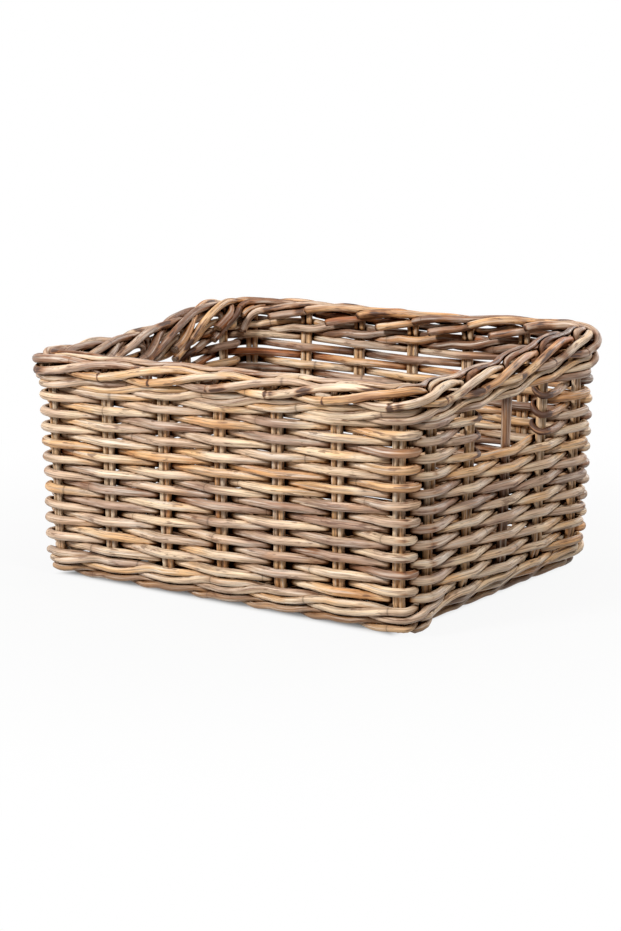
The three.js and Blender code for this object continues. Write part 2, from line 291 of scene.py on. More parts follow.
class Canes:
    """Gathers tubes into one mesh, with the values per point that the rattan material reads."""

    def __init__(self):
        self.count = 0
        self.faces = []
        self.values = {"position": [], "grain": [], "tone": [], "mark": []}

    def add_points(self, **values):
        """Adds points with all their values, and gives their numbers in the mesh."""
        first = self.count
        self.count += len(values["position"])
        for label, value in values.items():
            self.values[label].append(value)
        return np.arange(first, self.count)

    def add_quads(self, near, far):
        """Faces from one ring of points to another, or from some rings to others."""
        corners = (near, far, np.roll(far, -1, axis=-1), np.roll(near, -1, axis=-1))
        self.faces += np.stack(corners, axis=-1).reshape(-1, 4).tolist()

    def add_cut(self, position, grain, centre, outward):
        """The smaller ring of points of a cut end, beyond the last ring of its cane."""
        rim = centre + (position - centre) * CUT_SHARE + outward * CUT_OUT
        plain = np.ones(len(rim))
        return self.add_points(position=rim, grain=grain, tone=CUT_TONE * plain, mark=0 * plain)

    def add(self, path, radius, tone, closed=False, sides=SIDES, up=None, marks=0.0, seed=0):
        """A cane along a path; its radius, tone and marks are one value or one for each point."""
        n = len(path)
        heading, lift, across = directions(path, closed, up)
        angles = np.arange(sides) * 2 * math.pi / sides
        ring = across[:, None] * np.cos(angles)[:, None] + lift[:, None] * np.sin(angles)[:, None]
        position = path[:, None] + ring * np.broadcast_to(radius, n)[:, None, None]
        spin = random.Random(seed).uniform(0, WHOLE_TURN)
        grain = np.zeros((n, sides, 3))
        grain[:, :, 0] = run_along(path)[:, None] * MILLIMETRE
        grain[:, :, 1] = np.cos(angles + spin) * GRAIN_RADIUS
        grain[:, :, 2] = np.sin(angles + spin) * GRAIN_RADIUS
        grain += np.array([seed * step % limit for step, limit in GRAIN_STEPS]) * GRAIN_SCALE
        numbers = self.add_points(
            position=position.reshape(-1, 3),
            grain=grain.reshape(-1, 3),
            tone=np.repeat(np.broadcast_to(tone, n), sides),
            mark=np.repeat(np.broadcast_to(marks, n), sides),
        ).reshape(n, sides)
        if closed:
            self.add_quads(numbers, np.roll(numbers, -1, axis=0))
            return
        self.add_quads(numbers[:-1], numbers[1:])
        start = self.add_cut(position[0], grain[0], path[0], -heading[0])
        self.add_quads(numbers[0][::-1], start[::-1])
        self.faces.append(start.tolist())
        end = self.add_cut(position[-1], grain[-1], path[-1], heading[-1])
        self.add_quads(numbers[-1], end)
        self.faces.append(end[::-1].tolist())

    def build(self, name, material, nodes):
        """Makes the piece that stands for some nodes of the frame."""
        mesh = bpy.data.meshes.new(name)
        values = {label: np.concatenate(arrays) for label, arrays in self.values.items()}
        position = values.pop("position") * MILLIMETRE
        mesh.from_pydata(position.tolist(), [], self.faces)
        values["crevice"] = np.zeros(self.count)
        for label, value in values.items():
            kind, field = ("FLOAT_VECTOR", "vector") if label == "grain" else ("FLOAT", "value")
            layer = mesh.attributes.new(label, kind, "POINT")
            layer.data.foreach_set(field, value.astype(np.float32).ravel())
        mesh.polygons.foreach_set("use_smooth", [len(face) == 4 for face in self.faces])
        mesh.materials.append(material)
        mesh.update()
        meshes.append(mesh)
        obj = bpy.data.objects.new(name, mesh)
        bpy.context.scene.collection.objects.link(obj)
        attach(obj, "root")
        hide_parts(*nodes)


class Shading:
    """Short ways to add nodes to a node tree."""

    def __init__(self, tree):
        self.nodes, self.links = tree.nodes, tree.links

    def feed(self, socket, value):
        """Gives a socket a plain value, or the output of another node."""
        if isinstance(value, bpy.types.NodeSocket):
            self.links.new(value, socket)
        else:
            socket.default_value = value

    def attribute(self, label, output="Fac"):
        node = self.nodes.new("ShaderNodeAttribute")
        node.attribute_name = label
        return node.outputs[output]

    def operate(self, node_kind, operation, first, second):
        node = self.nodes.new(node_kind)
        node.operation = operation
        self.feed(node.inputs[0], first)
        if second is not None:
            self.feed(node.inputs[1], second)
        return node

    def maths(self, operation, first, second=None, clamp=False):
        node = self.operate("ShaderNodeMath", operation, first, second)
        node.use_clamp = clamp
        return node.outputs[0]

    def vector_maths(self, operation, first, second=None, output="Vector"):
        return self.operate("ShaderNodeVectorMath", operation, first, second).outputs[output]

    def times(self, first, second, clamp=False):
        return self.maths("MULTIPLY", first, second, clamp)

    def minus(self, first, second, clamp=False):
        return self.maths("SUBTRACT", first, second, clamp)

    def noise(self, scale, detail, roughness, vector=None):
        node = self.nodes.new("ShaderNodeTexNoise")
        for name, value in (("Scale", scale), ("Detail", detail), ("Roughness", roughness)):
            node.inputs[name].default_value = value
        if vector is not None:
            self.links.new(vector, node.inputs["Vector"])
        return node.outputs["Fac"]

    def mix(self, kind, factor, under, over):
        node = self.nodes.new("ShaderNodeMix")
        node.data_type = "RGBA"
        node.blend_type = kind
        node.clamp_factor = True
        for place, value in ((0, factor), (6, under), (7, over)):
            self.feed(node.inputs[place], value)
        return node.outputs[2]

    def ramp(self, factor, stops, mode="LINEAR"):
        node = self.nodes.new("ShaderNodeValToRGB")
        node.color_ramp.interpolation = mode
        elements = node.color_ramp.elements
        while len(elements) < len(stops):
            elements.new(0.5)
        for element, (place, colour) in zip(elements, stops):
            element.position = place
            element.color = (*colour, 1)
        self.links.new(factor, node.inputs[0])
        return node.outputs[0]

    def band(self, factor, low, high, strength):
        """How much of a layer shows: none below low, its full strength above high."""
        shown = self.ramp(factor, [(low, (0, 0, 0)), (high, (1, 1, 1))])
        return self.times(shown, strength)

    def fade(self, value, near, far, least, most):
        """Eases from the least at the near place to the most at the far one."""
        node = self.nodes.new("ShaderNodeMapRange")
        node.interpolation_type = "SMOOTHSTEP"
        limits = (("From Min", near), ("From Max", far), ("To Min", least), ("To Max", most))
        for name, number in limits:
            node.inputs[name].default_value = number
        self.links.new(value, node.inputs["Value"])
        return node.outputs["Result"]


# Noises in the cane: how much finer across it than along it, scale, detail and roughness
NOISES = {
    "drift": (3, 9.0, 3.0, 0.6),
    "shade": (20, 13.0, 2.0, 0.55),
    "bleach": (24, 17.0, 3.0, 0.55),
    "amber": (4, 15.0, 2.0, 0.55),
    "fine": (30, 24.0, 4.0, 0.68),
    "hair": (40, 11.0, 3.0, 0.6),
    "spots": (6, 46.0, 3.0, 0.6),
    "wander": (0, 2.3, 1.0, 0.55),
}

# Colours that noises lay over the cane: from where in the noise, in full from where, how strong
LAYERS = {
    "shade": (0.5, 0.68, 0.5, (0.37, 0.235, 0.165)),
    "bleach": (0.5, 0.66, 0.6, (0.74, 0.67, 0.585)),
    "amber": (0.58, 0.7, 0.36, (0.56, 0.27, 0.095)),
    "hair": (0.575, 0.65, 0.64, (0.17, 0.078, 0.04)),
    "spots": (0.59, 0.655, 0.7, (0.11, 0.042, 0.02)),
}

# The same for the brown edge and the burnt core of a mark
STAINS = ((0.0, 0.3, 0.66, (0.3, 0.115, 0.035)), (0.3, 0.6, 0.94, (0.052, 0.018, 0.008)))

# How far the tone strays from the cane's own, and the fine streaks in the cane
DRIFT = 1.3
FINE_FROM, FINE_MIDDLE, FINE_PALE = 0.38, (0.49, (0.95, 0.94, 0.93)), (0.62, (1.18, 1.17, 1.15))

# How strong a mark is, how soon it sets in, and the grit that makes it ragged
MARK_STRENGTH, MARK_START = 2.7, 9.0
SHADE_GRIT, SPOT_GRIT, GRIT_LEVEL = 2.6, 1.8, 1.65

# Joints of the rattan: how sharp, how strong, the colour
JOINTS_PER_METRE, JOINT_WANDER = 3.1, 2.4
JOINT_HALO = (22.0, 0.35, (0.2, 0.095, 0.045, 1))
JOINT_LINE = (190.0, 0.6, (0.05, 0.022, 0.011, 1))

# Painted shade: what is left of the colour by how hemmed in a point is
PAINTED_SHADE_STOPS = (
    (0.2, (1, 1, 1)),
    (0.42, (0.85, 0.78, 0.71)),
    (0.6, (0.33, 0.215, 0.135)),
    (0.74, (0.024, 0.01, 0.004)),
)

# The surface: roughness below and above the material's own, sheen and how much of it the
# painted crevice shade dulls, and the bumps' strength, height in metres, and shares of fine
# streaks and of spots
SMOOTHER, ROUGHER = 0.08, 0.1
SHEEN, SHEEN_LOST = 0.4, 0.75
BUMP_STRENGTH, BUMP_HEIGHT, FINE_BUMP, SPOT_BUMP = 0.5, 0.0006, 0.8, 0.4


class Rattan(Shading):
    """Weathered rattan: each method adds one thing that a cane shows."""

    def __init__(self, tree):
        super().__init__(tree)
        self.grain = self.attribute("grain", "Vector")
        self.mark = self.attribute("mark")
        self.crevice = self.attribute("crevice")
        self.noises = {}
        for label, (fineness, *settings) in NOISES.items():
            vector = self.vector_maths("MULTIPLY", self.grain, (1, fineness, fineness))
            self.noises[label] = self.noise(*settings, vector)
        self.colour = None

    def lay(self, amount, low, high, strength, over):
        """Lays a colour where an amount is above low, and in full where it is above high."""
        shown = self.band(amount, low, high, strength)
        self.colour = self.mix("MIX", shown, self.colour, (*over, 1))

    def drift(self, tones):
        """The cane's tone, which drifts along it."""
        spread = self.times(self.minus(self.noises["drift"], 0.5), DRIFT)
        place = self.maths("ADD", self.attribute("tone"), spread, clamp=True)
        self.colour = self.ramp(place, tones, "EASE")

    def streaks(self, strength):
        """Streaks darker and paler than the tone, dark hairs and spots."""
        for label in ("shade", "bleach", "amber"):
            self.lay(self.noises[label], *LAYERS[label])
        dark = (1 - strength, 1 - strength * 1.1, 1 - strength * 1.2)
        stops = [(FINE_FROM, dark), FINE_MIDDLE, FINE_PALE]
        self.colour = self.mix("MULTIPLY", 1.0, self.colour, self.ramp(self.noises["fine"], stops))
        for label in ("hair", "spots"):
            self.lay(self.noises[label], *LAYERS[label])

    def joints(self):
        """Thin dark rings round the cane, unevenly spaced."""
        split = self.nodes.new("ShaderNodeSeparateXYZ")
        self.links.new(self.grain, split.inputs[0])
        along = self.times(split.outputs[0], JOINTS_PER_METRE)
        wander = self.times(self.noises["wander"], JOINT_WANDER)
        turn = self.maths("FRACT", self.maths("ADD", along, wander))
        gap = self.maths("ABSOLUTE", self.minus(turn, 0.5))
        for sharpness, strength, dark in (JOINT_HALO, JOINT_LINE):
            ring = self.minus(1.0, self.times(gap, sharpness), clamp=True)
            self.colour = self.mix("MIX", self.times(ring, strength), self.colour, dark)

    def stains(self):
        """Marks that noise makes ragged."""
        shade = self.times(self.noises["shade"], SHADE_GRIT)
        grit = self.maths("ADD", shade, self.times(self.noises["spots"], SPOT_GRIT))
        strong = self.times(self.mark, MARK_STRENGTH)
        ragged = self.minus(strong, self.minus(grit, GRIT_LEVEL))
        marked = self.times(self.mark, MARK_START, clamp=True)
        ragged = self.times(ragged, marked)
        for layer in STAINS:
            self.lay(ragged, *layer)

    def lay_painted_shade(self):
        """Painted shade where the cane is hemmed in by others: its colour darkens there."""
        self.colour = self.mix("MULTIPLY", 1.0, self.colour, self.ramp(self.crevice, PAINTED_SHADE_STOPS))

    def surface(self, shader, roughness):
        """The shader's colour, sheen and small bumps."""
        self.links.new(self.colour, shader.inputs["Base Color"])
        stops = [(0.3, (roughness - SMOOTHER,) * 3), (0.7, (roughness + ROUGHER,) * 3)]
        self.links.new(self.ramp(self.noises["drift"], stops), shader.inputs["Roughness"])
        # Where the painted crevice shade lies, the sheen is dulled as well.
        dull = self.times(self.crevice, SHEEN_LOST)
        gloss = self.minus(SHEEN, dull, clamp=True)
        self.links.new(gloss, shader.inputs["Specular IOR Level"])
        fine = self.times(self.noises["fine"], FINE_BUMP)
        height = self.maths("ADD", fine, self.times(self.noises["spots"], SPOT_BUMP))
        bump = self.nodes.new("ShaderNodeBump")
        bump.inputs["Strength"].default_value = BUMP_STRENGTH
        bump.inputs["Distance"].default_value = BUMP_HEIGHT
        self.links.new(height, bump.inputs["Height"])
        self.links.new(bump.outputs[0], shader.inputs["Normal"])


def rattan(name, tones, roughness, streak):
    material = bpy.data.materials.new(name)
    material.use_nodes = True
    material.node_tree.nodes.clear()
    cane = Rattan(material.node_tree)
    out = cane.nodes.new("ShaderNodeOutputMaterial")
    shader = cane.nodes.new("ShaderNodeBsdfPrincipled")
    cane.links.new(shader.outputs[0], out.inputs[0])
    cane.drift(tones)
    cane.streaks(streak)
    cane.joints()
    cane.stains()
    cane.lay_painted_shade()
    cane.surface(shader, roughness)
    return material


def linear(*colour):
    """A colour of a picture, from 0 to 255, as the shader takes it."""
    shares = [part / 255 for part in colour]
    return tuple(s / 12.92 if s <= 0.04 else ((s + 0.055) / 1.055) ** 2.4 for s in shares)


# The rattan's tones from dark brown over mauve grey and cream to orange tan
TONES = [
    (0.00, linear(92, 58, 38)),
    (0.14, linear(140, 98, 70)),
    (0.28, linear(172, 142, 122)),
    (0.42, linear(206, 178, 152)),
    (0.58, linear(228, 203, 172)),
    (0.72, linear(224, 182, 134)),
    (0.86, linear(204, 152, 102)),
    (1.00, linear(164, 98, 54)),
]
FOOT_TONES = [
    (0.00, linear(84, 56, 40)),
    (0.40, linear(152, 116, 84)),
    (0.70, linear(204, 168, 128)),
    (1.00, linear(180, 120, 68)),
]
weaver_cane = rattan("weaver_rattan", TONES, 0.5, streak=0.5)
border_cane = rattan("border_rattan", TONES, 0.46, streak=0.5)
foot_cane = rattan("foot_rattan", FOOT_TONES, 0.52, streak=0.34)
base_cane = rattan("base_rattan", TONES, 0.55, streak=0.34)


def wavy(path, amount, seed):
    """Small unevenness of a cane along its length."""
    rng = random.Random(seed)
    waves = []
    for _ in range(6):
        waves.append((rng.uniform(0, WHOLE_TURN), rng.uniform(0.012, 0.05), rng.uniform(0.3, 1)))
    along = run_along(path)
    shifted = np.array(path)
    for index, (phase, rate, size) in enumerate(waves):
        shifted[:, index // 2] += amount * size * np.sin(along * rate + phase)
    return shifted


def uneven_radius(radius, count, seed, share=0.05):
    """A cane's radius along its length, uneven by a share."""
    rng = random.Random(seed)
    slow, quick = rng.uniform(0, WHOLE_TURN), rng.uniform(0, WHOLE_TURN)
    along = np.arange(count)
    waves = 0.6 * np.sin(along * 0.031 + slow) + 0.4 * np.sin(along * 0.083 + quick)
    return radius * (1 + share * waves)


# How far a cane's tone strays, and how many points a length of one tone has
TONE_SPREAD, TONE_LENGTHS, TONE_BLUR = 0.15, (26, 90), 3


def tones(base, count, seed):
    """A cane's tone: one base with slow changes along it, as lengths of cane differ."""
    rng = random.Random(seed)
    tone = np.zeros(count)
    start = 0
    value = base + rng.uniform(-TONE_SPREAD, TONE_SPREAD)
    while start < count:
        length = rng.randint(*TONE_LENGTHS)
        tone[start:start + length] = value
        value = base + rng.uniform(-TONE_SPREAD, TONE_SPREAD) * 1.4
        start += length
    padded = np.concatenate([tone[-TONE_BLUR:], tone, tone[:TONE_BLUR]])
    window = 2 * TONE_BLUR + 1
    return np.convolve(padded, np.ones(window) / window, mode="valid")


# Bends of a strand at a stake pair: millimetres along the wall towards the corner, and swings
# outward. At the last pairs of a wall they depend on the side, outside 1 and inside -1.
ALONG_WALL = ((-9.0, 0.8), (0.0, 1.03), (9.0, 0.8))
AT_LONG_END = {1: ((-4.5, 1.0), (1.0, 1.02), (5.8, 1.05)), -1: ((-2.0, 1.0), (2.5, 1.08))}
AT_SHORT_END = {1: ((-3.5, 1.0), (1.5, 1.02), (7.0, 1.08)), -1: ((-2.0, 1.0), (4.0, 1.1))}
DIVING = ((-4.5, 1.0), (1.0, 1.02), (5.8, 1.0), (11.5, 0.7))

# How stained a row is at the four bends of a dive
DIVING_STAINS = (0.1, 0.5, 1.0, 0.3)


def passing(station, side, height, swing=SWING, dive=False):
    """Where a strand passes a stake pair, in anticlockwise order; rows dive at the corners."""
    at_end = long_end(station) or short_end(station)
    if not at_end:
        bends = ALONG_WALL
    elif dive and side > 0:
        bends = DIVING
    else:
        bends = (AT_LONG_END if long_end(station) else AT_SHORT_END)[side]
    way = -1 if at_end and not corner_after(station) else 1
    return [on_wall(station, side * out * swing, height, way * shift) for shift, out in bends][::way]


def row_height(row):
    return FIRST_ROW + row * ROW_PITCH


def side_of(row, station):
    return -1 if (row + station) % 2 == 0 else 1


def nestled(row, station):
    """Height of a row at a pair: nearer the viewer it rides up, so that the weave closes."""
    if station % STATIONS < HALF_ROUND:
        return row_height(row) + side_of(row, station) * (0.15 if row >= FIRST_SPLIT_ROW else 0.6)
    return row_height(row) - side_of(row, station) * (0.5 if row >= 5 else 1.1)


def woven(row, stations):
    """Points of a row, how far each belongs to the passing of a pair, and stains at corners."""
    points, passes, stains = [], [], []
    for station in stations:
        here = passing(station, side_of(row, station), nestled(row, station), dive=True)
        points += here
        passes += [1.0] * len(here)
        if len(here) == len(DIVING):
            stains += DIVING_STAINS if corner_after(station) else DIVING_STAINS[::-1]
        else:
            stains += [0.0] * len(here)
        if not corner_after(station):
            points.append(on_wall(station + 0.5, 0, row_height(row)))
            passes.append(0.0)
            stains.append(0.0)
    return points, passes, stains


def girth(passes, places):
    """A cane is a little thicker where it passes a pair, to close the weave."""
    return 1 + 0.07 * np.interp(places, np.arange(len(passes) + 1), [*passes, passes[0]])


def full_row(row):
    """Path of a row that runs all the way round, how thick it is, and its stains."""
    points, passes, stains = woven(row, range(STATIONS))
    path, places = smooth(points, STEP, closed=True)
    stained = np.interp(places, np.arange(len(stains)), stains)
    return wavy(path, 0.8, seed=100 + row), girth(passes, places), stained


# A cane's way round the last pair at a hand hole: along the wall, and outward in swings. The
# climb to the next row depends on the side from which it comes, outside 1 and inside -1.
TURN = ((-4.0, 1.0), (3.0, 1.0), (7.2, 0.62), (8.8, 0.0), (7.2, -0.62), (3.0, -1.0), (-4.0, -1.0))
TURN_CLIMBS = {1: (0, 0, 0, 0.25, 0.65, 1, 1), -1: (0, 0, 0.35, 0.75, 1, 1, 1)}


def hole_turn(row, station, way):
    """The turn climbs to the next row inside the wall, and lies level outside."""
    side = side_of(row, station)
    turn = []
    for (shift, out), climb in zip(TURN, TURN_CLIMBS[side]):
        height = row_height(row) + climb * ROW_PITCH
        turn.append(on_wall(station, side * out * SWING, height, way * shift))
    return turn[::way]


def turned_rows(row, first, last):
    """Two rows of one cane; also how far each point lies in a turn at a hand hole."""
    points, passes, turns = [], [], []
    for course, station, way in ((row, last, 1), (row + 1, first, -1)):
        woven_points, woven_passes, _ = woven(course, range(first + 1, last))
        points += woven_points[::way]
        passes += woven_passes[::way]
        turns.append(len(points) + len(TURN) // 2)
        points += hole_turn(row, station, way)
        passes += [0.5] * len(TURN)
    path, places = smooth(points, FINE_STEP, closed=True)
    turning = np.max([np.clip(3.6 - np.abs(places - turn), 0, 1) for turn in turns], axis=0)
    return wavy(path, 0.45, seed=200 + row + first), girth(passes, places), turning


def wale_strand(strand, low, rise):
    """One of three canes: it rises outside two pairs and comes down inside the third."""
    points = []
    for station in range(STATIONS):
        phase = (station - strand) % 3
        if phase == 0:
            points += passing(station, 1, low)
            if corner_after(station):
                points.append(on_wall(station + 0.5, 1.35 * SWING, low + rise / 2))
        elif phase == 1:
            points += passing(station, 1, low + rise)
            points.append(on_wall(station + 0.5, 0, low + rise))
        else:
            points += passing(station, -1, low + rise / 2)
            points.append(on_wall(station + 0.5, 0, low))
    path, _ = smooth(points, STEP, closed=True)
    return wavy(path, 0.25, seed=400 + strand)


def foot_strand(strand):
    """One of two canes that twine round the feet of the stakes."""
    points = []
    for station in range(STATIONS):
        side = 1 if (station + strand) % 2 == 0 else -1
        points += passing(station, side, FOOT_LEVEL, SWING - WEAVER + FOOT_CANE)
        points.append(on_wall(station + 0.5, 0, FOOT_LEVEL + side * FOOT_TWIST))
    path, _ = smooth(points, STEP, closed=True)
    return path


# Tones of rows, counted from 0 at the foot: 12 to 14 are the orange ones
ROW_TONES = {8: 0.38, 10: 0.34, 12: 0.72, 13: 0.8, 14: 0.7, 15: 0.54, 18: 0.54}
USUAL_ROW_TONE = 0.47
BACK_TURNED_TONES = (0.3, 0.82, 0.24)

# The upper wale along the back: its middle and reach as shares of the way round, and its tones
BACK_WALE_MIDDLE, BACK_WALE_REACH = 0.63, 0.15
BACK_WALE_TONES = (0.3, 0.8, 0.16)


def row_tone(row):
    return ROW_TONES.get(row, USUAL_ROW_TONE)


for row in range(FIRST_SPLIT_ROW):
    canes = Canes()
    path, thickness, stains = full_row(row)
    radius = uneven_radius(WEAVER, len(path), seed=row, share=0.08) * thickness
    tone = tones(row_tone(row), len(path), seed=300 + row)
    marks = stains * (0.28 + 0.06 * math.sin(row * 2.3))
    canes.add(path, radius, tone, closed=True, marks=marks, seed=row + 1)
    canes.build(f"row_{row + 1}", weaver_cane, [f"weaver_row_{row + 1}"])

for row in range(FIRST_SPLIT_ROW, ROWS, 2):
    for label, first, last in (("front", -2, 8), ("back", 10, 20)):
        canes = Canes()
        path, thickness, turning = turned_rows(row, first, last)
        radius = uneven_radius(WEAVER, len(path), seed=row + first) * thickness * (1 - 0.22 * turning)
        course = (row - FIRST_SPLIT_ROW) // 2
        usual = row_tone(row) if label == "front" else BACK_TURNED_TONES[course]
        tone = tones(usual, len(path), seed=330 + row + first)
        canes.add(path, radius, tone, closed=True, marks=0.52 * turning, seed=40 + row + first)
        rows = f"{row + 1}_{row + 2}"
        node = f"{label}_weaver_rows_{rows}"
        canes.build(f"{label}_rows_{rows}", weaver_cane, [node])

for strand in range(3):
    for label, low, rise in (("upper", UPPER_WALE, UPPER_RISE), ("lower", LOWER_WALE, LOWER_RISE)):
        canes = Canes()
        path = wale_strand(strand, low, rise)
        n = len(path)
        tone = tones(0.55, n, seed=420 + strand)
        radius = uneven_radius(WALE, n, seed=60 + strand)
        if label == "upper":
            away = np.abs(np.arange(n) / n - BACK_WALE_MIDDLE)
            far_tone = BACK_WALE_TONES[strand] + 1.2 * (tone - 0.55)
            tone = np.where(away < BACK_WALE_REACH, far_tone, tone)
            radius = radius * (1 + 0.1 * np.clip((BACK_WALE_REACH + 0.02 - away) / 0.04, 0, 1))
        canes.add(path, radius, tone, closed=True, seed=75 + strand * 2)
        node = f"{label}_wale_strand_{strand + 1}"
        canes.build(f"{label}_wale_{strand + 1}", border_cane, [node])

for strand in range(2):
    canes = Canes()
    path = foot_strand(strand)
    radius = uneven_radius(FOOT_CANE, len(path), seed=80 + strand)
    tone = tones(0.5, len(path), seed=440 + strand)
    canes.add(path, radius, tone, closed=True, sides=FOOT_SIDES, seed=90 + strand)
    canes.build(f"foot_{strand + 1}", foot_cane, [f"foot_strand_{strand + 1}"])

# Routes of the rim's canes from the bend of the stake: stations travelled, then outward and
# upward in weaver diameters
OUTER_PATH = [
    (0.02, 0.02, 1.0), (0.10, 0.2, 1.26), (0.30, 0.66, 1.14), (0.60, 1.16, 0.84),
    (0.88, 1.54, 0.72), (0.97, 1.62, 0.74), (1.06, 1.64, 0.86), (1.35, 1.66, 1.26),
    (1.65, 1.5, 1.82), (2.00, 1.15, 2.3), (2.35, 0.6, 2.44), (2.65, 0.0, 2.02),
    (2.85, -0.6, 1.7), (3.00, -1.2, 1.4), (3.30, -1.8, 1.0), (3.52, -1.9, 0.66),
]
INNER_PATH = [
    (0.00, -0.1, 1.0), (0.00, -0.3, 1.8), (0.04, -0.4, 2.34), (0.16, -0.45, 2.64),
    (0.50, -0.5, 2.66), (0.80, -0.82, 2.64), (1.00, -1.22, 2.7), (1.40, -1.55, 2.66),
    (1.72, -1.75, 2.36), (1.92, -1.85, 1.95),
]

# On the left wall the inner canes slope down between the outer ones
LEFT_INNER_PATH = [
    (0.00, -0.1, 1.0), (0.02, -0.15, 1.6), (0.15, -0.2, 2.1), (0.45, -0.25, 2.4),
    (0.80, -0.45, 2.5), (1.15, -0.95, 2.2), (1.50, -1.4, 1.6), (1.80, -1.75, 1.0),
    (2.05, -2.0, 0.3), (2.30, -2.0, -0.5), (2.55, -2.0, -1.3),
]

# Tones of the rim's canes by the wall that they start from: inner canes, then outer ones
BORDER_TONES = {
    "front": ((0.2, 0.46, 0.38, 0.5), (0.5, 0.56, 0.62, 0.68)),
    "right": ((0.1, 0.22, 0.4, 0.3), (0.3, 0.5, 0.88, 0.2, 0.6)),
    "back": ((0.1, 0.86, 0.24, 0.4), (0.2, 0.32, 0.9, 0.5)),
    "left": ((0.06, 0.16, 0.3), (0.14, 0.24, 0.34, 0.45)),
}

# Tones of the stakes: the pair at a hand hole, inner and outer, and all others
# The hand hole's pair is darker, its inner stake most: painted shade in the hole.
HOLE_STAKE_TONES = {-1: 0.08, 1: 0.3}
STAKE_TONE, STAKE_TONE_SPREAD = 0.7, 0.07

# Where an outer cane kinks, in route points after the bend; how far handwork strays, as a
# share of a station or of the diameter, and in millimetres; and how far a stake sways
KINK, SLACK, STRAY, SWAY = 5, 0.06, 0.3, 0.35


def slopes_down(station):
    """Whether the rim's canes that start here run along the left wall."""
    return 15 < station < 23


def spot(places, middle, length, top=1.0):
    """1 round a place among the route points, and down to 0 a length away from it."""
    return np.clip(top - np.abs(places - middle) / length, 0, 1)


def stake_points(station, side):
    """A stake from its foot up to the bend, swaying a little."""
    points = []
    for height in np.linspace(STAKE_FOOT, BORDER_SEAT + 1.5, 12):
        sway = SWAY * math.sin(height * 0.045 + station * 1.7 + side)
        points.append(on_wall(station, sway, height, side * PAIR_SPACING / 2 + sway * 0.6))
    return points


def rim_points(station, side, route, slopes, rng):
    """The route of a stake's end through the rim, with the slack of handwork."""
    points = []
    slack = rng.uniform(-SLACK, SLACK)
    for travel, out, rise in route:
        if slopes and side > 0:
            rise = rise - 0.8 * eased(travel, 2.8, 3.5) + 0.4 * hump(travel, 1.2, 0.5)
        strayed = slack * eased(travel)
        shift = side * PAIR_SPACING / 2 * max(0.0, 1 - 1.4 * travel)
        height = BORDER_SEAT + (rise + strayed) * DIAMETER + rng.uniform(-STRAY, STRAY)
        reach = out * DIAMETER + rng.uniform(-STRAY, STRAY)
        points.append(on_wall(station + travel + strayed, reach, height, shift))
    return points


def rim_marks(places, bend, last, kinks, patches, rng):
    """Stains of a rim cane: at its cut end, at its kink and in patches."""
    marks = np.clip((places - last + 0.35) * 3, 0, 1) * 0.5
    if kinks:
        marks = np.maximum(marks, spot(places, bend + KINK, 0.4) * 0.5)
        marks = np.maximum(marks, spot(places, bend + KINK + 0.9, 0.8) * rng.choice((0, 0.4)))
    for _ in range(patches):
        middle, length = bend + rng.uniform(2, last - bend + 1), rng.uniform(0.3, 0.9)
        patch = spot(places, middle, length, top=1.4) * rng.uniform(0.2, 0.46)
        marks = np.maximum(marks, patch)
    return marks


def stake_cane(canes, station, side, route, thick, rng):
    """Adds one cane of a pair, inner -1 or outer 1: the stake and its end in the rim."""
    wall = wall_of(station)
    points = stake_points(station, side)
    bend = len(points)
    points += rim_points(station, side, route, slopes_down(station), rng)
    path, places = smooth(points, FINE_STEP)
    radius = np.interp(places, [bend - 1, bend + 2], [STAKE, thick * rng.uniform(0.96, 1.04)])
    border_tone = rng.choice(BORDER_TONES[wall][side > 0])
    if place_of(station) == SHORT_MIDDLE:
        stake_tone = HOLE_STAKE_TONES[side]
    else:
        stake_tone = STAKE_TONE + rng.uniform(-STAKE_TONE_SPREAD, STAKE_TONE_SPREAD)
    tone = np.interp(places, [bend - 1, bend + 1], [stake_tone, border_tone])
    patches = 2 if wall == "front" else 4
    marks = rim_marks(places, bend, len(points) - 1, side > 0, patches, rng)
    up = on_wall(station, 10, 120) - on_wall(station, 0, 120)
    canes.add(path, radius, tone, up=up, marks=marks, seed=600 + station * 2 + side)


for station in range(STATIONS):
    canes = Canes()
    rng = random.Random(500 + station)
    if slopes_down(station):
        inner, inner_radius, outer_radius = LEFT_INNER_PATH, FAR_INNER_BORDER, BORDER * 1.17
    else:
        inner, outer_radius = INNER_PATH, BORDER * 1.02
        inner_radius = FAR_INNER_BORDER if station > 10 else NEAR_INNER_BORDER
    stake_cane(canes, station, -1, inner, inner_radius, rng)
    stake_cane(canes, station, 1, OUTER_PATH, outer_radius, rng)
    canes.build(f"stakes_{station + 1}", border_cane, [f"stake_pair_{station + 1}"])

# Base: the floor reaches from the inside of one wall's weave to the other's. In the solids the
# outer sticks leave room for the weaver's turn, its radius and a gap.
BASE_STICKS, BASE_PASSES = 6, 25
SOLID_TURN, SOLID_BASE_WEAVER, BASE_GAP = 12.45, 3, 1.5

# How far sticks reach past the floor, and the weaver's way past the sticks
STICK_END, STICK_TONE = 2.8, 0.4
BASE_LAP, BASE_SWING, BASE_TURN, BASE_TONE = 1.9, 7.2, 12.4, 0.42

wall_thickness = OVERHANG + LEAN + SOLID_SWING + SOLID_WEAVER
floor_x, floor_y = WIDTH / 2 - wall_thickness, DEPTH / 2 - wall_thickness
outer_stick = floor_x - SOLID_TURN - SOLID_BASE_WEAVER - BASE_GAP


def stick_place(index):
    return outer_stick * (2 * index / (BASE_STICKS - 1) - 1)


